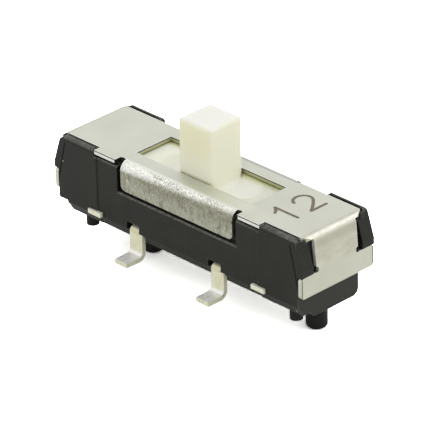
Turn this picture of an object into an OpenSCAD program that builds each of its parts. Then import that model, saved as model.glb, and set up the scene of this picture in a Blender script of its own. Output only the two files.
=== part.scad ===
// Surface-mount slide switch with three positions: a folded steel cover over an
// insert-moulded base, and a moulded slider whose knob stands in the cover's window.
// Frame: the board is Z = 0, +X is the marked end, -Y is the side of the common leads.
// All sizes are in millimetres.

/* [Overall] */
// Length over the corner posts
body_l = 12.1; // [11.6:0.1:14]
// Width over the side walls
body_w = 3.5; // [3.4:0.05:4.2]
// Height of the cover's top over the board
cover_z = 3.5; // [3.3:0.05:4.2]
// Height of the knob's top over the board
knob_z = 5.55; // [4.6:0.05:7]
// Gap between the board and the plinth under the base
board_gap = 0.4; // [0.3:0.01:0.55]

/* [Slider] */
// Distance from one position to the next
step = 2; // [1.5:0.1:2.1]
// Length of the knob along its travel
knob_l = 1.56; // [1.2:0.02:1.8]
// Width of the knob across its travel
knob_w = 1.58; // [1.2:0.02:1.7]
// Radius of the knob's upright edges
knob_edge_r = 0.15; // [0.06:0.01:0.25]
// Radius round the knob's top
knob_top_r = 0.15; // [0.05:0.01:0.2]
// Length of the dish in the deck, with the knob in its middle
dish_l = 4.4; // [3.4:0.1:5]
// Depth of the dish
dish_depth = 0.15; // [0.05:0.01:0.15]
// Thickness of the slider's deck
deck_t = 0.5; // [0.4:0.05:0.8]
// Running gap between the slider and what guides it
slide_gap = 0.04; // [0.03:0.01:0.06]

/* [Cover] */
// Thickness of the steel sheet
sheet_t = 0.15; // [0.12:0.01:0.18]
// Length of the two side flaps
flap_l = 5.44; // [4.6:0.02:5.6]
// Height of the side flaps' lower edge over the board
flap_z = 2.42; // [2.3:0.01:2.6]
// Outer bend radius of the side flaps
flap_bend_r = 0.36; // [0.25:0.01:0.42]
// Radius of the side flaps' lower corners
flap_corner_r = 0.2; // [0.05:0.01:0.3]
// Width of the slits beside the side flaps
slit_w = 0.25; // [0.2:0.01:0.32]
// Length of the ledge tabs beside the front slits
tab_l = 1.05; // [0.7:0.05:1.2]
// Distance from the base's side faces in to the flat sheet's edge
rim_inset = 0.32; // [0.3:0.01:0.36]
// Width of the end flaps
end_flap_w = 2; // [1.6:0.05:2.2]
// Outer bend radius of the end flaps
end_bend_r = 0.3; // [0.2:0.01:0.32]
// Lean of the end flaps from upright
end_lean = 5; // [3:1:12]
// Upper edge of the crossbars over the board
bar_top_z = 2.15; // [2.05:0.05:2.3]
// Height of the crossbars
bar_h = 0.8; // [0.6:0.05:0.9]
// Radius of the crossbars' corners
bar_corner_r = 0.14; // [0.05:0.01:0.25]
// Radius of the holes at the crossbars' inner corners
corner_hole_r = 0.11; // [0.06:0.01:0.12]

/* [Base] */
// Thickness of the side walls beside the slider
wall_t = 0.55; // [0.5:0.01:0.6]
// Thickness of the end walls at the cavity
end_wall_t = 0.5; // [0.45:0.05:0.6]
// Step by which the corner blocks stand out from the side walls between them
panel_step = 0.03; // [0.01:0.01:0.05]
// Width of the plinth under the base
plinth_w = 2.34; // [2:0.05:2.6]
// Radius of the plinth's lower edges
plinth_r = 0.28; // [0.1:0.01:0.3]
// Fall of the corner posts' end faces from upright
post_draft = 18; // [12:1:20]
// Radius along the corner posts' side top edges
lip_r = 0.17; // [0.08:0.01:0.18]
// Radius along the corner posts' end top edges
post_end_r = 0.28; // [0.15:0.01:0.3]
// Gap between the flat sheet's edge and the corner posts' lips
rim_gap = 0.11; // [0.05:0.01:0.12]
// Distance between the locating bosses
boss_pitch = 8; // [7:0.1:8.4]
// Offset of the locating bosses' middle towards the marked end
boss_shift = 1; // [0.5:0.1:1]
// Diameter of the locating bosses
boss_d = 0.76; // [0.6:0.02:0.9]
// Reach of the locating bosses below the board's upper face
boss_reach = 0.7; // [0.4:0.05:0.8]
// Distance between the board rests along the base
rest_pitch = 10; // [9.6:0.1:10.2]
// Diameter of the board rests
rest_d = 0.46; // [0.4:0.02:0.5]

/* [Leads] */
// Thickness of the lead sheet
lead_t = 0.17; // [0.15:0.01:0.2]
// Height of the lead sheet's upper face over the board
frame_z = 1.16; // [1.05:0.01:1.2]
// Width of a lead below its shoulder
lead_w = 0.6; // [0.5:0.02:0.7]
// Width of a lead's neck
neck_w = 0.42; // [0.3:0.02:0.46]
// Distance between neighbouring lead positions
lead_pitch = 2; // [1.8:0.1:2.1]
// Distance between the toes of front and rear leads
toe_span = 5; // [4.8:0.1:6.2]
// Inner radius of the bend above the foot
foot_bend_r = 0.15; // [0.1:0.01:0.2]
// Length of a carrier stub's face
stub_w = 0.62; // [0.5:0.02:0.7]
// Distance between the carrier stubs along the base
stub_pitch = 8; // [7.6:0.1:8.4]

/* [Hidden] */
$fn = 48;
cut = 1;                 // reach of a cutter past the face it opens
seat_gap = 0.02;         // gap between the sheet and the base it lies on
side_gap = 0.03;         // gap behind a flap
recess_gap = 0.18;       // gap between a side flap's ends and the ends of its recess
stop_gap = 0.02;         // gap left at each end of the travel
bend_lap = 2;            // angle by which a bend runs on into the flat beyond it
edge_bevel = 0.05;       // bevel on the base's visible ledges
half_l = body_l / 2;
half_w = body_w / 2;

// Cover
flap_y = half_w - 0.03;                          // outer face of the side flaps
window_l = knob_l + 2 * step + 2 * stop_gap;
window_w = knob_w + 2 * slide_gap;
sheet_under_z = cover_z - sheet_t;
flat_y = flap_y - flap_bend_r;                   // where a side flap starts to bend
rim_y = half_w - rim_inset;                      // edge of the flat sheet
slit_x = flap_l / 2 + slit_w / 2;
slit_y = flat_y + 0.04 + slit_w / 2;             // middle of a slit's round end
tab_x = flap_l / 2 + slit_w;
rim_x = tab_x + tab_l;
bar_x = half_l - 0.03;                           // outer face of the crossbars
bar_z = bar_top_z - bar_h;
crease_z = bar_top_z + 0.07;
bend_top_z = cover_z - end_bend_r;
lean_fall = bend_top_z + end_bend_r * sin(end_lean) - crease_z;
end_bend_x = bar_x - lean_fall * tan(end_lean) - end_bend_r * cos(end_lean);
fold_x = end_bend_x + end_bend_r * cos(end_lean);
end_corner_x = end_bend_x + 0.07;                // where the sheet's corners are cut off
corner_cut = 0.43;                               // width of a cut corner beside an end flap
end_corner_y = min(rim_y, end_flap_w / 2 + corner_cut);
corner_angle = 55;                               // turn of the fold up to which it is wide

// Base
block_x = bar_x - sheet_t - seat_gap;            // end faces behind the crossbars
wall_y = half_w - panel_step;                    // side walls between the corner blocks
panel_x = rim_x - 0.1;                           // inner ends of the corner blocks
wall_top_z = sheet_under_z - seat_gap;
ledge_z = sheet_under_z - 0.1;                   // ledges under the tabs
post_z = bar_top_z + seat_gap;                   // undersides of the corner posts
post_y = end_flap_w / 2 + 0.2;                   // inner faces of the corner posts
post_draft_z = bar_top_z + 0.27;                 // where their end faces start to lean
lip_y = rim_y + rim_gap;                         // inner faces of the lips beside the sheet
lip_x = rim_x + side_gap;
cavity_x = block_x - end_wall_t;
cavity_y = half_w - wall_t;
recess_x = flap_l / 2 + recess_gap;              // recesses that take the side flaps
recess_y = flap_y - sheet_t - side_gap;
recess_z = flap_z - 0.15;
rest_y = plinth_w / 2 - rest_d / 2 + 0.04;
plinth_top_z = board_gap + 0.62;
boss_draft_z = -0.08;                            // where the bosses' draft starts, in the board's hole
boss_root_d = boss_d + 0.05;
boss_tip_r = 0.15;
skirt_z = 0.6;                                   // lower edge of the side walls
skirt_in = 0.25;                                 // inward run of their lower bevel
frame_under_z = frame_z - lead_t;

// Slider
deck_x = cavity_x - step - stop_gap;
deck_y = cavity_y - slide_gap;
deck_z = sheet_under_z - slide_gap;              // upper face of the deck
keel_x = 1.1;                                    // block that carries the moving contact
keel_y = 0.98;
keel_z = frame_z + 0.3;
dish_z = deck_z - dish_depth;
dish_r = (knob_w * knob_w / 4 + dish_depth * dish_depth) / (2 * dish_depth);
foot_room = dish_depth + slide_gap - 0.01;       // height that passes under the sheet
knob_foot_r = foot_room + stop_gap + sqrt(2 * foot_room * stop_gap);

// Contacts
contact_y = 0.62;                                // rows of fixed contacts
contact_w = 0.5;
pad_gap = 0.3;
pad_l = step - pad_gap;
strip_t = 0.1;
strip_l = 0.8;
touch_gap = 0.01;
touch_r = 0.16;
lead_y = half_w - lead_t;                        // inner face of an upright lead
bend_out_r = lead_t + 0.03;
stub_reach = 0.09;                               // a stub's reach past the side face

// A profile drawn in Y and Z, run from x0 to x1
module run_x(x0, x1) {
    translate([x0, 0, 0]) rotate([90, 0, 90]) linear_extrude(x1 - x0) children();
}

// A profile drawn in X and Z, run from y0 to y1
module run_y(y0, y1) {
    translate([0, y1, 0]) rotate([90, 0, 0]) linear_extrude(y1 - y0) children();
}

// A box given by its two corners
module box(low, high) {
    translate(low) cube(high - low);
}

// Children and their mirror images at both ends, both sides or all four corners
module both_ends() {
    children();
    mirror([1, 0, 0]) children();
}

module both_sides() {
    children();
    mirror([0, 1, 0]) children();
}

// A flat outline with four round corners, centred
module round_rect(l, w, r) {
    square([l - 2 * r, w], center = true);
    square([l, w - 2 * r], center = true);
    for (x = [-1, 1], y = [-1, 1]) translate([x * (l / 2 - r), y * (w / 2 - r)]) circle(r);
}

// A quarter or less of a bent sheet, from straight up to the given angle
module bend_2d(r_out, t, angle) {
    reach = 2 * r_out;
    intersection() {
        difference() {
            circle(r_out);
            circle(r_out - t);
        }
        polygon([[0, 0], [0, reach], [reach, reach], [reach * cos(90 - angle), reach * sin(90 - angle)]]);
    }
}

// ---- Cover: one sheet, cut flat and folded ----

module cover_flat() {
    linear_extrude(sheet_t) difference() {
        union() {
            square([2 * end_bend_x, 2 * flat_y], center = true);
            for (s = [-1, 1]) {
                translate([s * (flap_l / 2 + end_bend_x) / 2, 0])
                    square([end_bend_x - flap_l / 2, 2 * rim_y], center = true);
                translate([s * (tab_x + tab_l / 2), -flap_y / 2])
                    square([tab_l, flap_y], center = true);
            }
        }
        square([window_l, window_w], center = true);
        for (sx = [-1, 1], sy = [-1, 1]) {
            translate([sx * slit_x, sy * slit_y]) circle(slit_w / 2);
            translate([sx * slit_x, sy * (slit_y + cut / 2)]) square([slit_w, cut], center = true);
        }
    }
}

module side_flap() {
    drop = cover_z - flap_bend_r - flap_z;
    run_x(-flap_l / 2, flap_l / 2) translate([flat_y, cover_z - flap_bend_r])
        bend_2d(flap_bend_r, sheet_t, 90);
    run_y(flap_y - sheet_t, flap_y) translate([0, flap_z + drop / 2]) intersection() {
        translate([0, flap_corner_r / 2]) square([flap_l, drop - flap_corner_r], center = true);
        square([flap_l, drop], center = true);
    }
    run_y(flap_y - sheet_t, flap_y) translate([0, flap_z + flap_corner_r]) {
        square([flap_l - 2 * flap_corner_r, 2 * flap_corner_r], center = true);
        for (s = [-1, 1]) translate([s * (flap_l / 2 - flap_corner_r), 0]) circle(flap_corner_r);
    }
}

// The sheet's cut corner, where the end fold is still wide
module fold_corner() {
    intersection() {
        run_y(end_flap_w / 2, rim_y) translate([end_bend_x, bend_top_z])
            bend_2d(end_bend_r, sheet_t, corner_angle);
        linear_extrude(cover_z) polygon([[0, 0], [fold_x, 0], [fold_x, end_flap_w / 2],
                                         [end_corner_x, end_corner_y], [0, rim_y]]);
    }
}

module end_flap() {
    both_sides() fold_corner();
    run_y(-end_flap_w / 2, end_flap_w / 2) {
        translate([end_bend_x, bend_top_z]) bend_2d(end_bend_r, sheet_t, 90 - end_lean + bend_lap);
        polygon([
            [end_bend_x + end_bend_r * cos(end_lean), bend_top_z + end_bend_r * sin(end_lean)],
            [bar_x, crease_z],
            [bar_x, bar_top_z - 0.1],
            [bar_x - sheet_t, bar_top_z - 0.1],
            [bar_x - sheet_t, crease_z],
            [end_bend_x + (end_bend_r - sheet_t) * cos(end_lean),
             bend_top_z + (end_bend_r - sheet_t) * sin(end_lean)]]);
    }
    run_x(bar_x - sheet_t, bar_x) translate([0, bar_z + bar_h / 2]) round_rect(body_w, bar_h, bar_corner_r);
}

module cover() {
    color([0.78, 0.78, 0.74]) difference() {
        union() {
            translate([0, 0, sheet_under_z]) cover_flat();
            both_sides() side_flap();
            both_ends() end_flap();
        }
        both_ends() both_sides()
            translate([block_x - cut / 2, end_flap_w / 2, bar_top_z + corner_hole_r - 0.02])
                rotate([0, 90, 0]) cylinder(r = corner_hole_r, h = 2 * cut);
    }
}

// ---- Slider: knob and dished deck in one moulding ----

module knob() {
    low_z = deck_z - deck_t;
    tall = knob_z - low_z;
    translate([0, 0, low_z + tall / 2]) intersection() {
        translate([0, 0, -tall / 2]) linear_extrude(tall) round_rect(knob_l, knob_w, knob_edge_r);
        run_y(-knob_w, knob_w) translate([0, -tall / 2])
            round_rect(knob_l, 2 * tall, knob_top_r);
        run_x(-knob_l, knob_l) translate([0, -tall / 2])
            round_rect(knob_w, 2 * tall, knob_top_r);
    }
}

module knob_foot() {
    run_y(knob_edge_r - knob_w / 2, knob_w / 2 - knob_edge_r) difference() {
        translate([0, deck_z - deck_t]) square([knob_l / 2 + knob_foot_r, deck_t - dish_depth + knob_foot_r]);
        translate([knob_l / 2 + knob_foot_r, dish_z + knob_foot_r]) circle(knob_foot_r);
    }
}

// A long shallow hollow as wide as the knob, with rounded ends
module dish() {
    straight = dish_l - knob_w;
    translate([0, 0, dish_z + dish_r]) {
        rotate([0, 90, 0]) cylinder(r = dish_r, h = straight, center = true);
        both_ends() translate([straight / 2, 0, 0]) sphere(dish_r);
    }
}

module slider() {
    color([0.93, 0.91, 0.82]) difference() {
        union() {
            difference() {
                box([-deck_x, -deck_y, deck_z - deck_t], [deck_x, deck_y, deck_z]);
                dish();
            }
            box([-keel_x, -keel_y, keel_z], [keel_x, keel_y, deck_z - deck_t / 2]);
            knob();
            both_ends() knob_foot();
        }
        box([-strip_l / 2 - side_gap, -contact_y - touch_r - 0.1, keel_z - cut],
            [strip_l / 2 + side_gap, contact_y + touch_r + 0.1, contact_top_z() + side_gap]);
    }
}

// ---- Moving contact: a sprung strip that bridges the two rows ----

function contact_top_z() = keel_z + 0.75;

module contact_half() {
    top_z = contact_top_z();
    foot_z = frame_z + touch_gap + touch_r;
    run_x(-strip_l / 2, strip_l / 2) {
        translate([0, top_z - strip_t]) square([contact_y + touch_r - 0.2, strip_t]);
        translate([contact_y + touch_r - 0.2, top_z - 0.2]) bend_2d(0.2, strip_t, 90);
        translate([contact_y + touch_r - strip_t, foot_z]) square([strip_t, top_z - 0.2 - foot_z]);
        translate([contact_y, foot_z]) difference() {
            circle(touch_r);
            circle(touch_r - strip_t);
            translate([-cut, 0]) square([2 * cut, cut]);
        }
    }
}

module moving_contact() {
    color([0.80, 0.62, 0.38]) both_sides() contact_half();
}

// ---- Terminals: stamped from one sheet, bent down outside the base ----

// One lead on the rear side, from its contact pad's row to its toe
module lead() {
    toe_y = toe_span / 2;
    foot_y = half_w + foot_bend_r;
    foot_z = lead_t + foot_bend_r;
    shoulder_z = frame_under_z;
    left = -lead_w / 2;
    box([left, contact_y, frame_under_z], [left + neck_w, lead_y + lead_t - bend_out_r, frame_z]);
    run_x(left, left + neck_w) translate([lead_y + lead_t - bend_out_r, frame_z - bend_out_r])
        bend_2d(bend_out_r, lead_t, 90);
    box([left, lead_y, shoulder_z - 0.05], [left + neck_w, half_w, frame_z - bend_out_r]);
    box([left, lead_y, foot_z], [left + lead_w, half_w, shoulder_z]);
    run_x(left, left + lead_w) translate([foot_y, foot_z]) rotate([0, 0, 180])
        bend_2d(foot_bend_r + lead_t, lead_t, 90);
    box([left, foot_y, 0], [left + lead_w, toe_y, lead_t]);
}

// The throw terminal of a position, from -1 to 1
module throw_terminal(i) {
    color([0.80, 0.78, 0.66]) {
        translate([i * lead_pitch, 0, 0]) lead();
        translate([i * step, 0, 0]) box([-pad_l / 2, contact_y - contact_w / 2, frame_under_z],
                                        [pad_l / 2, contact_y + contact_w / 2, frame_z]);
    }
}

module common_terminal() {
    rail_x = max(step + pad_l / 2, lead_pitch + lead_w / 2);
    color([0.80, 0.78, 0.66]) {
        for (s = [-1, 1]) translate([s * lead_pitch, 0, 0]) mirror([0, 1, 0]) lead();
        box([-rail_x, -contact_y - contact_w / 2, frame_under_z],
            [rail_x, -contact_y + contact_w / 2, frame_z]);
    }
}

module carrier_stub(sx, sy) {
    color([0.80, 0.78, 0.66]) scale([sx, sy, 1])
        box([stub_pitch / 2 - stub_w / 2, half_w - 0.5, frame_under_z],
            [stub_pitch / 2 + stub_w / 2, half_w + stub_reach, frame_z]);
}

// ---- Base: moulded round the terminals and the stubs ----

module base_section(side_y) {
    polygon([[0, skirt_z], [side_y - skirt_in, skirt_z], [side_y, frame_under_z],
             [side_y, ledge_z - edge_bevel], [side_y - edge_bevel, ledge_z], [lip_y, ledge_z],
             [lip_y, wall_top_z], [0, wall_top_z]]);
}

module base_sections() {
    run_x(-block_x, block_x) base_section(wall_y);
    both_ends() run_x(panel_x, block_x) base_section(half_w);
}

// The base over the crossbars, leaning with the end flaps and bevelled under their bends
module end_outline() {
    polygon([[0, post_z], [block_x, post_z],
             [block_x - (bend_top_z - post_z) * tan(end_lean), bend_top_z],
             [end_bend_x - seat_gap, wall_top_z], [0, wall_top_z]]);
}

// A post's side view: an upright foot, a leaning end face and round top edges
module post_profile() {
    round_z = cover_z - post_end_r;
    round_x = half_l - (post_end_r + (round_z - post_draft_z) * sin(post_draft)) / cos(post_draft);
    polygon([[lip_x, post_z], [half_l, post_z], [half_l, post_draft_z],
             [round_x + post_end_r * cos(post_draft), round_z + post_end_r * sin(post_draft)],
             [round_x, cover_z], [lip_x + lip_r, cover_z], [lip_x, cover_z - lip_r]]);
    translate([round_x, round_z]) circle(post_end_r);
    translate([lip_x + lip_r, cover_z - lip_r]) circle(lip_r);
}

// A post's end view outside the sheet: a lip with a round outer edge
module lip_section() {
    round_y = half_w - lip_r;
    intersection() {
        union() {
            translate([0, post_z]) square([half_w, cover_z - lip_r - post_z]);
            translate([0, post_z]) square([round_y, cover_z - post_z]);
            translate([round_y, cover_z - lip_r]) circle(lip_r);
        }
        translate([lip_y, post_z]) square([half_w, cover_z]);
    }
}

// The part of a post under the sheet, bevelled under the end fold
module post_core() {
    polygon([[cavity_x, post_z], [half_l, post_z], [half_l, bend_top_z],
             [end_bend_x + end_bend_r - sheet_t, bend_top_z + 0.04],
             [end_bend_x - seat_gap, wall_top_z], [cavity_x, wall_top_z]]);
}

module corner_post() {
    intersection() {
        union() {
            run_x(lip_x, half_l) lip_section();
            run_y(post_y, lip_y) post_core();
        }
        run_y(0, half_w) post_profile();
    }
    lip_return();
}

// The lip's short return round the sheet's cut corner
module lip_return() {
    low_z = bend_top_z - 0.05;
    translate([0, 0, low_z]) linear_extrude(cover_z - 0.08 - low_z)
        polygon([[end_corner_x - 0.15, lip_y], [end_corner_x + 0.02, lip_y],
                 [end_corner_x + 0.06, rim_y], [fold_x - 0.13, end_flap_w / 2 + 0.3],
                 [fold_x - 0.1, end_flap_w / 2 + 0.33], [end_corner_x + 0.1, lip_y],
                 [end_corner_x - 0.05, lip_y + 0.12], [end_corner_x - 0.15, lip_y + 0.12]]);
}

module base_body() {
    both_sides() intersection() {
        base_sections();
        both_ends() run_y(0, half_w) {
            square([block_x, post_z]);
            end_outline();
        }
    }
    both_ends() both_sides() corner_post();
}

module plinth() {
    run_x(-block_x, block_x) {
        translate([0, (board_gap + plinth_top_z) / 2])
            round_rect(plinth_w, plinth_top_z - board_gap, plinth_r);
        translate([0, plinth_top_z - plinth_r / 2]) square([plinth_w, plinth_r], center = true);
    }
}

module locating_boss(x) {
    tip_d = boss_d - 2 * boss_tip_r;
    translate([x, 0, -boss_reach]) {
        rotate_extrude() {
            square([tip_d / 2, boss_tip_r]);
            intersection() {
                translate([tip_d / 2, boss_tip_r]) circle(boss_tip_r);
                square([boss_d / 2, boss_tip_r]);
            }
        }
        translate([0, 0, boss_tip_r])
            cylinder(d = boss_d, h = boss_reach + boss_draft_z - boss_tip_r);
    }
    translate([x, 0, boss_draft_z])
        cylinder(d1 = boss_d, d2 = boss_root_d, h = plinth_top_z - boss_draft_z);
}

module base_solid() {
    base_body();
    plinth();
    for (s = [-1, 1]) locating_boss(boss_shift + s * boss_pitch / 2);
    for (sx = [-1, 1], sy = [-1, 1]) translate([sx * rest_pitch / 2, sy * rest_y, 0])
        cylinder(d = rest_d, h = plinth_top_z);
}

module metal_inserts() {
    common_terminal();
    for (i = [-1, 0, 1]) throw_terminal(i);
    for (sx = [-1, 1], sy = [-1, 1]) carrier_stub(sx, sy);
}

// Room in a side wall for a lead's neck, its bend and its shoulder
module lead_pocket(x) {
    translate([x, 0, 0]) box([-lead_w / 2 - 0.04, lead_y - side_gap, 0],
                             [lead_w / 2 + 0.04, half_w + cut, frame_under_z]);
    translate([x, 0, 0]) box([-lead_w / 2 - 0.2, half_w - 0.3, frame_under_z],
                             [-lead_w / 2 + neck_w + 0.02, half_w + cut, frame_z + 0.12]);
}

// Room for a side flap and, above it, a bevel under its bend
module flap_room() {
    bend_low_z = cover_z - flap_bend_r;
    box([-recess_x, recess_y, recess_z], [recess_x, half_w + cut, cover_z + cut]);
    run_x(-recess_x, recess_x) polygon([[flat_y - seat_gap, wall_top_z], [recess_y, bend_low_z],
                                        [recess_y, cover_z], [flat_y - seat_gap, cover_z]]);
    run_x(-recess_x, recess_x) polygon([[wall_y - edge_bevel, recess_z], [wall_y, recess_z - edge_bevel],
                                        [half_w, recess_z - edge_bevel], [half_w, recess_z]]);
}

module base() {
    color([0.20, 0.20, 0.18]) difference() {
        base_solid();
        box([-cavity_x, -cavity_y, frame_z], [cavity_x, cavity_y, cover_z + cut]);
        both_sides() flap_room();
        for (i = [-1, 0, 1]) lead_pocket(i * lead_pitch);
        for (s = [-1, 1]) mirror([0, 1, 0]) lead_pocket(s * lead_pitch);
        box([block_x - 0.5, plinth_w / 2, 0], [block_x + cut, half_w + cut, bar_z]);
        box([-block_x - cut, -half_w - cut, 0], [-block_x + 0.42, -plinth_w / 2, bar_z - 0.3]);
        metal_inserts();
    }
}

base();
cover();
slider();
moving_contact();
common_terminal();
throw_terminal(-1);  // throw_terminal_left
throw_terminal(0);  // throw_terminal_centre
throw_terminal(1);  // throw_terminal_right
carrier_stub(-1, -1);  // carrier_stub_front_left
carrier_stub(1, -1);  // carrier_stub_front_right
carrier_stub(-1, 1);  // carrier_stub_rear_left
carrier_stub(1, 1);  // carrier_stub_rear_right
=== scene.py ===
# A slide switch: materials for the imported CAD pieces, an etched number, a floor, a world and lamps.
# Blender's unit is the metre; a value in millimetres is multiplied by MM.

import math

import bpy
from mathutils import Matrix, Vector


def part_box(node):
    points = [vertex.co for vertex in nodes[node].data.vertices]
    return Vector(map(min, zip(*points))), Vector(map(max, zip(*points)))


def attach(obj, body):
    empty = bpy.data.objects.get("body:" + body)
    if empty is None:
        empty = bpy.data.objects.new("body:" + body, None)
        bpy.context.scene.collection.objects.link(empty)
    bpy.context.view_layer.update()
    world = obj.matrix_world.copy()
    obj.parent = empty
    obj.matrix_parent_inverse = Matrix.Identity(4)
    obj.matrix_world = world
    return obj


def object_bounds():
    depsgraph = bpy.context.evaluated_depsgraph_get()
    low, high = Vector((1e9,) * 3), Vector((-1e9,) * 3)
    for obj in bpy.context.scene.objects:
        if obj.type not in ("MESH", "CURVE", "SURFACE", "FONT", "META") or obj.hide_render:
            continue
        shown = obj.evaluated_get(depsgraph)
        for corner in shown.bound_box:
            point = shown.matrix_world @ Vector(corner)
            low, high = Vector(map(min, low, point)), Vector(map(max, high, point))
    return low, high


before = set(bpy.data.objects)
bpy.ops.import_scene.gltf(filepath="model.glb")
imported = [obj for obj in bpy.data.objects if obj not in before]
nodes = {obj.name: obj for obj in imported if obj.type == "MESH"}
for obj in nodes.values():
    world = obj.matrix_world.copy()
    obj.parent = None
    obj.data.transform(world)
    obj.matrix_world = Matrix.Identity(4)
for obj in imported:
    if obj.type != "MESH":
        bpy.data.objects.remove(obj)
cad_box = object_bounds()
scene = bpy.context.scene
scene.view_settings.view_transform = "Standard"
MM = 0.001


# ---- camera ----

def make_camera():
    """A long lens at the photograph's viewing angle; azimuth 0 looks along +Y."""
    azimuth, elevation, roll = math.radians(45.69), math.radians(28.0), math.radians(-1.2)
    distance, lens = 160.2 * MM, 374.7
    shift_right, shift_up = 0.315 * MM, 1.422 * MM
    back = Vector((math.sin(azimuth) * math.cos(elevation),
                   -math.cos(azimuth) * math.cos(elevation), math.sin(elevation)))
    level = Vector((math.cos(azimuth), math.sin(azimuth), 0))
    rise = back.cross(level)
    right = math.cos(roll) * level + math.sin(roll) * rise
    up = math.cos(roll) * rise - math.sin(roll) * level
    data = bpy.data.cameras.new("camera")
    data.lens, data.sensor_width = lens, 36
    data.clip_start, data.clip_end = 0.01, 20
    camera = bpy.data.objects.new("camera", data)
    turn = Matrix((right, up, back)).transposed().to_4x4()
    place = back * distance + right * shift_right + up * shift_up
    camera.matrix_world = Matrix.Translation(place) @ turn
    scene.collection.objects.link(camera)
    scene.camera = camera


make_camera()


# ---- node helpers ----

class Graph:
    """Short calls for building the nodes of a material or a world.

    A mask is 1 where its look holds and 0 elsewhere.
    """

    def __init__(self, owner, output="ShaderNodeOutputMaterial"):
        self.owner = owner
        owner.use_nodes = True
        self.tree = owner.node_tree
        self.tree.nodes.clear()
        self.out = self.node(output)

    def node(self, kind, **props):
        n = self.tree.nodes.new(kind)
        for k, v in props.items():
            setattr(n, k, v)
        return n

    def link(self, a, b):
        self.tree.links.new(a, b)

    def put(self, socket, value):
        if isinstance(value, bpy.types.NodeSocket):
            self.link(value, socket)
        else:
            socket.default_value = value

    # places and directions

    def coords(self):
        """Object coordinates in millimetres."""
        tex = self.node("ShaderNodeTexCoord")
        scale = self.node("ShaderNodeVectorMath", operation="SCALE")
        self.link(tex.outputs["Object"], scale.inputs[0])
        scale.inputs["Scale"].default_value = 1 / MM
        return scale.outputs[0]

    def split(self, vector):
        n = self.node("ShaderNodeSeparateXYZ")
        self.link(vector, n.inputs[0])
        return n.outputs[0], n.outputs[1], n.outputs[2]

    def facing(self):
        """How far the face looks along X, along Y and up."""
        geometry = self.node("ShaderNodeNewGeometry")
        nx, ny, nz = self.split(geometry.outputs["True Normal"])
        return self.size(nx), self.size(ny), nz

    def stretch(self, vector, factors):
        n = self.node("ShaderNodeVectorMath", operation="MULTIPLY")
        self.link(vector, n.inputs[0])
        n.inputs[1].default_value = factors
        return n.outputs[0]

    # patterns

    def noise(self, vector, scale, detail=3, rough=0.55, distortion=0.0):
        n = self.node("ShaderNodeTexNoise")
        self.link(vector, n.inputs["Vector"])
        n.inputs["Scale"].default_value = scale
        n.inputs["Detail"].default_value = detail
        n.inputs["Roughness"].default_value = rough
        n.inputs["Distortion"].default_value = distortion
        return n.outputs["Fac"]

    def grain(self, vector, factors, detail=3, rough=0.55, distortion=0.0):
        """Noise with its own scale along each axis."""
        return self.noise(self.stretch(vector, factors), 1, detail, rough, distortion)

    def voronoi(self, vector, scale):
        n = self.node("ShaderNodeTexVoronoi", feature="F1")
        self.link(vector, n.inputs["Vector"])
        n.inputs["Scale"].default_value = scale
        return n.outputs["Distance"]

    # numbers and masks

    def math(self, op, a, b=0.0, c=0.0):
        n = self.node("ShaderNodeMath", operation=op)
        self.put(n.inputs[0], a)
        self.put(n.inputs[1], b)
        self.put(n.inputs[2], c)
        return n.outputs[0]

    def size(self, value):
        return self.math("ABSOLUTE", value)

    def inwards(self, value, face):
        """How far the value lies inside an outer face."""
        return self.math("SUBTRACT", face, value)

    def spread(self, value, low, high, to_low=0.0, to_high=1.0, smooth=False):
        n = self.node("ShaderNodeMapRange", clamp=True)
        if smooth:
            n.interpolation_type = "SMOOTHSTEP"
        self.put(n.inputs["Value"], value)
        n.inputs["From Min"].default_value = low
        n.inputs["From Max"].default_value = high
        n.inputs["To Min"].default_value = to_low
        n.inputs["To Max"].default_value = to_high
        return n.outputs["Result"]

    def above(self, value, low, high, smooth=False):
        """0 up to low, 1 from high on."""
        return self.spread(value, low, high, smooth=smooth)

    def below(self, value, low, high, smooth=False):
        """1 up to low, 0 from high on."""
        return self.spread(value, high, low, smooth=smooth)

    def near(self, value, place, inner, outer, smooth=False):
        """1 within inner of the place, 0 further than outer from it."""
        return self.below(self.size(self.math("SUBTRACT", value, place)), inner, outer, smooth)

    def both(self, first, *others):
        for other in others:
            first = self.math("MULTIPLY", first, other)
        return first

    def either(self, a, b):
        return self.math("MAXIMUM", a, b)

    def seen(self):
        """Masks for what the camera sees directly, and for what it sees mirrored or refracted."""
        rays = self.node("ShaderNodeLightPath").outputs
        return rays["Is Camera Ray"], self.either(rays["Is Glossy Ray"], rays["Is Transmission Ray"])

    def edge_mask(self, radius_mm):
        """1 near sharp edges."""
        bevel = self.round_edges(radius_mm)
        geometry = self.node("ShaderNodeNewGeometry")
        dot = self.node("ShaderNodeVectorMath", operation="DOT_PRODUCT")
        self.link(bevel, dot.inputs[0])
        self.link(geometry.outputs["True Normal"], dot.inputs[1])
        return self.below(dot.outputs["Value"], 0.8, 0.995)

    def crevice(self, reach_mm, closed, open_):
        """1 deep in gaps and slits."""
        n = self.node("ShaderNodeAmbientOcclusion", samples=8)
        n.inputs["Distance"].default_value = reach_mm * MM
        return self.spread(n.outputs["AO"], open_, closed, 1, 0)

    # colour and surface

    def mix(self, factor, a, b):
        n = self.node("ShaderNodeMix", data_type="RGBA")
        self.put(n.inputs["Factor"], factor)
        self.put(n.inputs["A"], a)
        self.put(n.inputs["B"], b)
        return n.outputs["Result"]

    def bump(self, height, depth_mm, normal=None):
        n = self.node("ShaderNodeBump")
        n.inputs["Distance"].default_value = depth_mm * MM
        n.inputs["Strength"].default_value = 1.0
        self.link(height, n.inputs["Height"])
        if normal is not None:
            self.link(normal, n.inputs["Normal"])
        return n.outputs[0]

    def round_edges(self, radius_mm):
        n = self.node("ShaderNodeBevel", samples=6)
        n.inputs["Radius"].default_value = radius_mm * MM
        return n.outputs[0]

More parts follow.
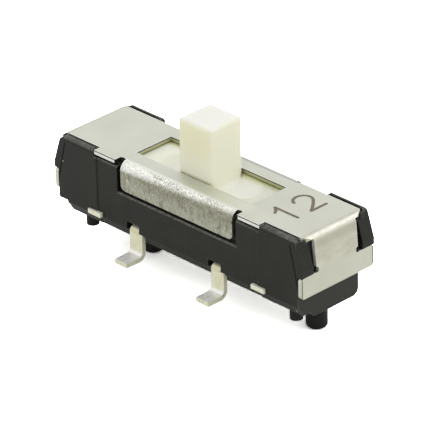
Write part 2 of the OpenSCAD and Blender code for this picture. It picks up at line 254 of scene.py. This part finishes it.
    def principled(self, **sockets):
        n = self.node("ShaderNodeBsdfPrincipled")
        for k, v in sockets.items():
            self.put(n.inputs[k.replace("_", " ")], v)
        self.link(n.outputs[0], self.out.inputs["Surface"])
        return n


def rgb(r, g, b):
    return (r, g, b, 1)


# ---- materials ----

# Places in millimetres, from the middle and the board. The looks change at these edges, or a
# small distance inwards from the cover's outer faces.
END, SIDE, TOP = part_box("cover")[1] / MM
BAR_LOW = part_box("cover")[0].z / MM    # lower edge of the crossbars
BAR_TOP = 2.15                         # upper edge of the crossbars
FLAP_X = 2.72                          # ends of the side flaps
SLIT_X = 2.97                          # outer ends of the slits beside them
RECESS_LOW = 2.245                     # bevel under the side flaps' recesses
BLOCK_X = 3.92                         # inner ends of the base's corner blocks
PLINTH_LOW = 0.4                       # lower face of the base, where the bosses start


def steel():
    g = Graph(bpy.data.materials.new("cover_steel"))
    p = g.coords()
    x, y, z = g.split(p)
    along, wide = g.size(x), g.size(y)
    from_end, from_side, depth = g.inwards(along, END), g.inwards(wide, SIDE), g.inwards(z, TOP)
    beside_flap = g.below(along, FLAP_X + 0.08, FLAP_X + 0.18)
    past_slit = (SLIT_X + 0.03, SLIT_X + 0.05)
    _, sideways, flat = g.facing()
    clouds = g.noise(p, 0.45)
    fine = g.noise(p, 14)

    # the end folds are a little warmer than the top, in patches, with a painted shade band under their
    # crest and a painted highlight along the crest
    fold = g.both(g.below(from_end, 0.28, 0.44, smooth=True), g.above(z, BAR_TOP - 0.05, BAR_TOP + 0.15))
    patches = g.grain(p, (2.4, 1.5, 3.6), 4, 0.65)
    patchy_painted_light = g.mix(g.spread(patches, 0.35, 0.65), rgb(0.51, 0.50, 0.41), rgb(0.60, 0.59, 0.50))
    dark = g.both(g.above(depth, 0.16, 0.22, smooth=True), g.below(depth, 0.35, 0.65, smooth=True))
    patchy_painted_light = g.mix(g.both(dark, 0.6), patchy_painted_light, rgb(0.42, 0.41, 0.33))
    crest = g.both(g.above(depth, 0.015, 0.045, smooth=True), g.below(depth, 0.08, 0.15, smooth=True))
    spots = g.grain(p, (3, 2.2, 3), 3, 0.6)
    crest = g.both(crest, g.spread(spots, 0.35, 0.6, 0.35, 1.0))
    patchy_painted_light = g.mix(crest, patchy_painted_light, rgb(0.80, 0.79, 0.72))

    # top, crossbars and end folds
    cloudy = g.spread(clouds, 0.3, 0.7)
    colour = g.mix(cloudy, rgb(0.60, 0.61, 0.53), rgb(0.66, 0.67, 0.59))
    crossbar = g.both(g.below(from_end, 0.07, 0.12), g.below(z, BAR_TOP, BAR_TOP + 0.1))
    colour = g.mix(crossbar, colour, g.mix(cloudy, rgb(0.555, 0.555, 0.465), rgb(0.62, 0.62, 0.53)))
    colour = g.mix(fold, colour, patchy_painted_light)
    # a painted highlight makes the strip between the window and the front bend brighter towards the marked
    # end
    strip = g.both(g.below(y, -0.90, -0.84), g.above(x, 0.6, 1.8, smooth=True))
    strip = g.both(strip, g.below(x, 2.6, 3.4, smooth=True), 0.7)
    colour = g.mix(strip, colour, rgb(0.74, 0.745, 0.67))

    # the side bends and flaps carry the worked grain of the folding tool, with a painted highlight over the
    # bends and painted shade under them
    flap = g.both(g.below(from_side, 0.30, 0.42, smooth=True), beside_flap)
    streaks = g.grain(p, (15, 15, 5), 4, 0.7, 0.8)
    colour = g.mix(flap, colour, worked_steel(g, p, x, from_side, depth, streaks))
    # a painted shade line along the start of the side bends
    bend_shade_line = g.both(g.near(y, SIDE - 0.37, 0.03, 0.08), beside_flap, 0.6)
    colour = g.mix(bend_shade_line, colour, rgb(0.30, 0.29, 0.26))

    # sheared edges: a dark burr line over a bright band outside; in the window a painted olive reflection
    # of the slider, and in the slits a painted shadow
    cut = g.both(g.below(flat, 0.15, 0.35), g.below(depth, 0.16, 0.17))
    outside = g.both(g.below(from_side, 0.35, 0.37), g.above(along, *past_slit))
    sheared = g.mix(outside, rgb(0.52, 0.53, 0.33), rgb(0.84, 0.84, 0.78))
    sheared = g.mix(g.below(depth, 0.035, 0.050), sheared, rgb(0.04, 0.04, 0.03))
    slit_shadow = g.both(g.above(along, FLAP_X - 0.04, FLAP_X - 0.02), g.below(along, *past_slit))
    slit_shadow = g.both(slit_shadow, g.below(from_side, 0.50, 0.55))
    sheared = g.mix(slit_shadow, sheared, rgb(0.02, 0.02, 0.015))
    colour = g.mix(cut, colour, sheared)
    flank = g.both(g.above(sideways, 0.7, 0.9), g.below(from_end, 0.42, 0.44), g.below(wide, 1.03, 1.05))
    colour = g.mix(flank, colour, rgb(0.78, 0.78, 0.72))
    burr = g.both(g.above(from_side, 0.015, 0.025), g.below(from_side, 0.050, 0.065))
    burr = g.both(burr, g.below(from_end, 0.002, 0.005))
    colour = g.mix(burr, colour, rgb(0.06, 0.06, 0.045))

    # painted highlights on the rims, and painted shade in the gaps, less of it inside the window
    painted_rim = g.both(g.edge_mask(0.055), g.either(g.above(flat, 0.9, 0.95), fold))
    colour = g.mix(g.both(painted_rim, g.spread(clouds, 0.3, 0.6, 0.6, 1.0)), colour, rgb(0.95, 0.95, 0.93))
    window = g.both(g.below(wide, 0.90, 0.95), g.below(along, 2.95, 3.0))
    gap_shade = g.both(g.crevice(0.25, 0.50, 0.12), g.spread(window, 0, 1, 1, 0.35))
    colour = g.mix(gap_shade, colour, rgb(0.02, 0.02, 0.015))

    dents = g.grain(p, (5, 3, 5), 3, 0.6)
    height = g.math("ADD", g.both(fine, 0.15), g.both(flap, streaks, 1.2))
    height = g.math("ADD", height, g.both(fold, dents, 2.2))
    normal = g.bump(height, 0.006, g.round_edges(0.03))
    rough = g.math("ADD", g.spread(fine, 0.3, 0.7, 0.43, 0.51), g.both(fold, 0.07))
    metal = g.spread(g.either(cut, flank), 0, 1, 1.0, 0.4)
    g.principled(Base_Color=colour, Metallic=metal, Roughness=rough, Normal=normal)
    return g.owner


def worked_steel(g, p, x, from_side, depth, streaks):
    """Colour of a side flap: blotched and streaked on its face, with painted shade just under its bend;
    specked over its bend, with a painted highlight there.
    """
    blots = g.grain(p, (6, 6, 3), 4, 0.65, 0.8)
    specks = g.grain(p, (18, 18, 12), 3, 0.6, 0.9)
    # painted shade: the face is darker just under the bend
    face = g.mix(g.above(depth, 0.35, 0.90), rgb(0.29, 0.285, 0.215), rgb(0.41, 0.41, 0.33))
    face = g.mix(g.spread(blots, 0.35, 0.54, 0.75, 0), face, rgb(0.17, 0.165, 0.12))
    face = g.mix(g.spread(streaks, 0.52, 0.68, 0, 0.6), face, rgb(0.60, 0.60, 0.52))
    face = g.mix(g.spread(specks, 0.60, 0.74), face, rgb(0.76, 0.77, 0.69))
    # the bend's bright specks and patches, and the glow near its top, are painted highlight
    bend = g.mix(g.spread(specks, 0.42, 0.62), rgb(0.38, 0.38, 0.31), rgb(0.92, 0.93, 0.88))
    worn_and_highlit = g.spread(g.noise(p, 0.8, 2), 0.40, 0.60)
    bend = g.mix(g.both(worn_and_highlit, 0.42), bend, rgb(0.92, 0.92, 0.88))
    bend = g.mix(g.spread(from_side, 0.19, 0.33, 0, 0.85, smooth=True), bend, rgb(0.80, 0.80, 0.76))
    leaning_depth = g.math("MULTIPLY_ADD", x, 0.04, depth)
    return g.mix(g.above(leaning_depth, 0.12, 0.31, smooth=True), bend, face)


def black_plastic():
    g = Graph(bpy.data.materials.new("black_plastic"))
    p = g.coords()
    x, y, z = g.split(p)
    along, depth = g.size(x), g.inwards(z, TOP)
    endwise, sideways, flat = g.facing()
    clouds = g.noise(p, 1.1)
    grain = g.noise(p, 28, 3, 0.6)
    flecks = g.noise(p, 11, 3, 0.7)

    # painted highlights make edges and upward bevels lighter, in flecks, apart from the low side panels and
    # the posts
    panel = g.both(g.below(along, BLOCK_X + 0.16, BLOCK_X + 0.18), g.above(depth, 0.25, 0.35))
    panel = g.both(panel, g.above(z, BAR_LOW - 0.05, BAR_LOW))
    post = g.both(g.above(along, END - 0.47, END - 0.37), g.above(depth, 0.20, 0.35))
    post = g.both(post, g.above(z, BAR_TOP - 0.25, BAR_TOP - 0.05), 0.85)
    edges = g.both(g.edge_mask(0.06), g.math("SUBTRACT", 1.0, g.either(panel, post)))
    patchy_painted_light = g.either(edges, g.above(flat, 0.42, 0.72))
    patchy_painted_light = g.both(patchy_painted_light, g.spread(flecks, 0.36, 0.66, 0.35, 1.0), g.spread(clouds, 0.35, 0.6, 0.45, 1.0))
    # a painted highlight along the bevel under the side flaps' recesses
    ledge_highlight = g.both(g.near(z, RECESS_LOW, 0.02, 0.045), g.below(along, FLAP_X + 0.18, FLAP_X + 0.23))
    ledge_highlight = g.both(ledge_highlight, g.above(g.size(y), SIDE - 0.15, SIDE - 0.10))
    patchy_painted_light = g.either(patchy_painted_light, g.both(ledge_highlight, g.spread(flecks, 0.42, 0.62, 0.35, 1.0)))

    # painted light makes the moulded end below the crossbars a little greyer, and painted shade makes the
    # bosses darkest
    colour = g.mix(g.spread(clouds, 0.3, 0.7), rgb(0.0058, 0.0068, 0.0032), rgb(0.0105, 0.0115, 0.0065))
    end = g.both(g.above(endwise, 0.8, 0.9), g.below(z, BAR_LOW + 0.01, BAR_LOW + 0.05))
    colour = g.mix(end, colour, rgb(0.024, 0.024, 0.018))
    boss_shade = g.below(z, PLINTH_LOW - 0.05, PLINTH_LOW + 0.05)
    colour = g.mix(boss_shade, colour, rgb(0.0010, 0.0013, 0.0002))
    colour = g.mix(patchy_painted_light, colour, rgb(0.17, 0.17, 0.15))

    # a painted shadow line, in place of a groove, runs down the side faces beside the leaning corner posts
    leaning_x = g.math("ADD", along, g.both(z, 0.24))
    line = g.both(g.near(leaning_x, 6.27, 0.02, 0.055, smooth=True), g.above(sideways, 0.7, 0.9))
    line = g.both(line, g.above(z, BAR_LOW - 0.1, BAR_LOW + 0.15), g.above(depth, 0.10, 0.25))
    colour = g.mix(line, colour, rgb(0.0005, 0.0005, 0.0005))

    # specks of dust, and painted shade in the gaps, but not in the seam beside the end blocks, whose
    # end-facing step is painted lighter
    dust = g.voronoi(g.stretch(p, (0.85, 0.85, 1.7)), 1.1)
    colour = g.mix(g.below(dust, 0.035, 0.050), colour, rgb(0.62, 0.62, 0.58))
    seam = g.both(g.near(along, BLOCK_X, 0.06, 0.12), g.above(depth, 0.35, 0.45))
    gap_shade = g.both(g.crevice(0.30, 0.60, 0.20), g.spread(seam, 0, 1, 1, 0.15))
    colour = g.mix(gap_shade, colour, rgb(0.001, 0.001, 0.001))
    colour = g.mix(g.both(seam, g.above(endwise, 0.4, 0.6)), colour, rgb(0.035, 0.035, 0.030))

    height = g.math("ADD", grain, g.both(g.noise(p, 9, 2), 0.6))
    normal = g.bump(height, 0.004, g.round_edges(0.045))
    rough = g.either(g.spread(grain, 0.3, 0.7, 0.46, 0.60), g.both(line, 0.95))
    g.principled(Base_Color=colour, Roughness=rough, Normal=normal, Specular_IOR_Level=0.30)
    return g.owner


def ivory_plastic():
    g = Graph(bpy.data.materials.new("ivory_plastic"))
    p = g.coords()
    x, y, z = g.split(p)
    endwise, _, flat = g.facing()
    upward = g.above(flat, 0.6, 0.95)
    cloudy = g.spread(g.noise(p, 0.9), 0.3, 0.7)
    grain = g.noise(p, 18)

    # the knob yellows towards its top; painted light makes its ends, edges and top face paler
    low = g.mix(cloudy, rgb(0.965, 0.945, 0.755), rgb(0.975, 0.96, 0.80))
    high = g.mix(cloudy, rgb(0.90, 0.88, 0.615), rgb(0.93, 0.91, 0.68))
    colour = g.mix(g.above(z, TOP, TOP + 1.4, smooth=True), low, high)
    colour = g.mix(g.spread(endwise, 0.5, 0.9, 0, 0.8), colour, rgb(0.98, 0.96, 0.79))
    colour = g.mix(g.edge_mask(0.14), colour, rgb(0.99, 0.985, 0.93))
    colour = g.mix(g.both(upward, g.above(z, TOP + 1.0, TOP + 1.1)), colour, rgb(0.985, 0.98, 0.88))

    # the deck: painted light and shade on its dish and its rim differ on the two sides, and painted shade
    # makes it greener under the sheet
    dish_end, dish_edge = 1.41, (0.60, 0.88)
    past = g.either(g.math("SUBTRACT", g.size(x), dish_end), 0.0)
    out = g.math("SQRT", g.math("MULTIPLY_ADD", past, past, g.both(y, y)))
    marked_side = g.above(x, -0.5, 0.5)
    dish_light_and_shade = g.mix(marked_side, rgb(0.88, 0.89, 0.76), rgb(1.0, 0.995, 0.87))
    painted_rim = g.mix(marked_side, rgb(0.985, 0.985, 0.81), rgb(0.775, 0.785, 0.67))
    deck = g.mix(g.above(out, *dish_edge, smooth=True), dish_light_and_shade, painted_rim)
    deck = g.mix(g.above(g.size(y), 0.56, 0.80, smooth=True), deck, rgb(0.77, 0.79, 0.47))
    colour = g.mix(g.both(upward, g.below(z, TOP, TOP + 0.1)), colour, deck)
    # painted shade, yellow-olive, deep in the gaps
    colour = g.mix(g.crevice(0.25, 0.75, 0.25), colour, rgb(0.60, 0.58, 0.30))

    normal = g.bump(grain, 0.0015, g.round_edges(0.08))
    rough = g.spread(grain, 0.3, 0.7, 0.30, 0.40)
    g.principled(Base_Color=colour, Roughness=rough, Normal=normal, Specular_IOR_Level=0.5,
                 Subsurface_Weight=0.6, Subsurface_Radius=(1.0, 0.9, 0.6), Subsurface_Scale=0.40 * MM)
    return g.owner


def tinned():
    g = Graph(bpy.data.materials.new("tinned_lead"))
    p = g.coords()
    x, _, z = g.split(p)
    outer_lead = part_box("common_terminal")[1].x / MM
    inner_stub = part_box("carrier_stub_front_right")[0].x / MM
    stub = g.above(g.size(x), outer_lead + 0.1, inner_stub - 0.1)
    flat = g.facing()[2]
    clouds = g.noise(p, 3)
    fine = g.noise(p, 26)
    drawn = g.grain(p, (30, 3, 3))
    rolled = g.grain(p, (9, 9, 2.5), 3, 0.6)
    colour = g.mix(g.spread(clouds, 0.3, 0.7), rgb(0.89, 0.865, 0.60), rgb(0.96, 0.945, 0.73))
    colour = g.mix(g.spread(rolled, 0.52, 0.66, 0, 0.7), colour, rgb(0.76, 0.74, 0.50))
    # painted light: the upward faces are lighter and greyer, with grain
    soles = g.spread(g.grain(p, (9, 4, 4), 3, 0.6), 0.40, 0.60)
    soles = g.mix(soles, rgb(0.80, 0.80, 0.78), rgb(1.0, 1.0, 0.99))
    colour = g.mix(g.above(flat, 0.5, 0.9), colour, soles)
    colour = g.mix(g.spread(drawn, 0.60, 0.72), colour, rgb(0.62, 0.61, 0.48))
    # a painted highlight on the inside of the bends
    bend_highlight = g.both(g.above(flat, 0.12, 0.25), g.below(flat, 0.8, 0.92), g.below(z, 0.5, 0.6))
    colour = g.mix(bend_highlight, colour, rgb(1.0, 1.0, 0.96))
    neck = g.both(g.above(z, 0.90, 1.0), g.math("SUBTRACT", 1.0, stub))
    colour = g.mix(g.both(neck, 0.8), colour, rgb(0.70, 0.68, 0.42))
    colour = g.mix(g.both(stub, 0.6), colour, rgb(0.93, 0.925, 0.74))
    # a painted highlight along the edges
    colour = g.mix(g.edge_mask(0.045), colour, rgb(1.0, 1.0, 0.95))
    height = g.math("ADD", g.both(fine, 0.5), g.both(drawn, 0.5))
    normal = g.bump(height, 0.005, g.round_edges(0.03))
    rough = g.spread(clouds, 0.3, 0.7, 0.38, 0.50)
    g.principled(Base_Color=colour, Metallic=0.20, Roughness=rough, Normal=normal)
    return g.owner


def bronze():
    g = Graph(bpy.data.materials.new("spring_bronze"))
    p = g.coords()
    clouds = g.noise(p, 4)
    colour = g.mix(g.spread(clouds, 0.3, 0.7), rgb(0.72, 0.50, 0.28), rgb(0.80, 0.62, 0.40))
    normal = g.bump(g.grain(p, (30, 4, 4)), 0.003, g.round_edges(0.02))
    rough = g.spread(clouds, 0.3, 0.7, 0.24, 0.34)
    g.principled(Base_Color=colour, Metallic=1.0, Roughness=rough, Normal=normal)
    return g.owner


def etched():
    g = Graph(bpy.data.materials.new("etched_mark"))
    p = g.coords()
    burn = g.noise(p, 7, 3, 0.7)
    colour = g.mix(g.spread(burn, 0.35, 0.65), rgb(0.115, 0.092, 0.052), rgb(0.23, 0.192, 0.128))
    normal = g.bump(g.noise(p, 60, 2), 0.004)
    g.principled(Base_Color=colour, Roughness=g.spread(burn, 0.3, 0.7, 0.5, 0.7), Normal=normal)
    return g.owner


def floor_paper():
    """Pale grey paper where light bounces off it, and white where it is seen."""
    g = Graph(bpy.data.materials.new("floor_paper"))
    seen_straight, seen_in_gloss = g.seen()
    fibre = g.spread(g.noise(g.coords(), 2), 0.3, 0.7)
    paper = g.mix(fibre, rgb(0.80, 0.80, 0.795), rgb(0.82, 0.82, 0.815))
    mirrored = g.mix(fibre, rgb(1.12, 1.12, 1.115), rgb(1.14, 1.14, 1.135))
    white = g.mix(fibre, rgb(3.95, 3.95, 3.94), rgb(4.00, 4.00, 3.99))
    colour = g.mix(seen_straight, g.mix(seen_in_gloss, paper, mirrored), white)
    g.principled(Base_Color=colour, Roughness=0.9, Specular_IOR_Level=0.0)
    return g.owner


def dress(name, material):
    slots = nodes[name].data.materials
    slots.clear()
    slots.append(material)


tin = tinned()
looks = {"base": black_plastic(), "cover": steel(), "slider": ivory_plastic(), "moving_contact": bronze()}
for node_name in nodes:
    dress(node_name, looks.get(node_name, tin))


# ---- the etched number: two generic digits in single strokes ----

def stroke(points, width, z):
    """A flat ribbon with round ends along the points, as vertices and faces."""
    verts, faces = [], []
    n = len(points)
    for i, p in enumerate(points):
        a = points[max(i - 1, 0)]
        b = points[min(i + 1, n - 1)]
        along = (Vector(b) - Vector(a)).normalized()
        across = Vector((-along.y, along.x)) * width / 2
        verts += [(p[0] + across.x, p[1] + across.y, z), (p[0] - across.x, p[1] - across.y, z)]
    for i in range(n - 1):
        faces.append((2 * i, 2 * i + 1, 2 * i + 3, 2 * i + 2))
    steps = 8
    for end, to in ((0, 1), (n - 1, n - 2)):
        out = (Vector(points[end]) - Vector(points[to])).normalized()
        side = Vector((-out.y, out.x))
        first = len(verts)
        for k in range(steps + 1):
            t = math.pi * k / steps
            q = Vector(points[end]) + (math.cos(t) * side + math.sin(t) * out) * width / 2
            verts.append((q.x, q.y, z))
        faces.append(tuple(range(first, len(verts))))
    return verts, faces


def digit_one(w, h):
    """Strokes of a 1 in a box w wide and h high, from its lower left corner."""
    return [[(0.16 * w, 0.74 * h), (0.38 * w, 0.84 * h), (0.56 * w, h)],
            [(0.56 * w, h), (0.56 * w, 0.5 * h), (0.56 * w, 0)]]


def digit_two(w, h):
    """Strokes of a 2: a round top running into a bowed diagonal, and a foot."""
    half, rise = w / 2, 0.31 * h
    points = []
    arc_steps, diagonal_steps = 14, 8
    for k in range(arc_steps + 1):
        t = math.radians(165 - 200 * k / arc_steps)
        points.append((half + half * math.cos(t), h - rise + rise * math.sin(t)))
    last = points[-1]
    for k in range(1, diagonal_steps + 1):
        s = k / diagonal_steps
        bow = 0.05 * w * math.sin(math.pi * s)
        points.append((last[0] * (1 - s) + bow, last[1] * (1 - s)))
    return [points, [(0, 0), (0.35 * w, 0), (0.7 * w, 0), (w, 0)]]


def make_mark():
    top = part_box("cover")[1].z
    width, height, gap, line = 0.72 * MM, 1.08 * MM, 0.34 * MM, 0.12 * MM
    centre = Vector((4.07 * MM, 0.03 * MM))
    verts, faces = [], []
    for index, digit in enumerate((digit_one, digit_two)):
        left = (index - 1) * (width + gap) + gap / 2
        for layer, path in enumerate(digit(width, height)):
            # reading runs along +Y, and the digits' tops point to -X
            placed = [(centre.x + height / 2 - up, centre.y + left + over) for over, up in path]
            # each stroke lies a little over the one before, so that no faces coincide
            points, ribbon = stroke(placed, line, top + (0.0015 + 0.0006 * layer) * MM)
            faces += [tuple(i + len(verts) for i in face) for face in ribbon]
            verts += points
    mesh = bpy.data.meshes.new("etched_number")
    mesh.from_pydata(verts, [], faces)
    mesh.materials.append(etched())
    mark = bpy.data.objects.new("etched_number", mesh)
    scene.collection.objects.link(mark)
    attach(mark, "housing")


make_mark()


# ---- floor, world and lamps ----

def make_floor():
    low, half = cad_box[0].z, 3.0
    corners = [(-half, -half, low), (half, -half, low), (half, half, low), (-half, half, low)]
    mesh = bpy.data.meshes.new("floor")
    mesh.from_pydata(corners, [], [(0, 1, 2, 3)])
    mesh.materials.append(floor_paper())
    floor = bpy.data.objects.new("floor", mesh)
    scene.collection.objects.link(floor)


def make_world():
    """Even light from all round, which is white where it is seen."""
    g = Graph(bpy.data.worlds.new("studio"), "ShaderNodeOutputWorld")

    def background(colour, strength):
        n = g.node("ShaderNodeBackground")
        g.put(n.inputs["Color"], colour)
        g.put(n.inputs["Strength"], strength)
        return n.outputs[0]

    choice = g.node("ShaderNodeMixShader")
    g.link(g.either(*g.seen()), choice.inputs[0])
    g.link(background(rgb(1.0, 1.0, 0.985), 0.73), choice.inputs[1])
    g.link(background(rgb(1, 1, 1), 1.0), choice.inputs[2])
    g.link(choice.outputs[0], g.out.inputs["Surface"])
    scene.world = g.owner


def soft_lamp(name, direction, distance, size, power):
    """A round lamp aimed at the middle; distance and size in metres, power in watts."""
    data = bpy.data.lights.new(name, "AREA")
    data.shape = "DISK"
    data.size = size
    data.energy = power
    lamp = bpy.data.objects.new(name, data)
    place = Vector(direction).normalized() * distance
    lamp.location = place
    lamp.rotation_mode = "QUATERNION"
    lamp.rotation_quaternion = (-place).to_track_quat("-Z", "Y")
    scene.collection.objects.link(lamp)


make_floor()
make_world()
soft_lamp("key", (0.46, 0.55, 0.70), 0.5, 0.90, 0.88)
soft_lamp("fill", (-0.62, -0.36, 0.70), 0.5, 0.46, 0.22)
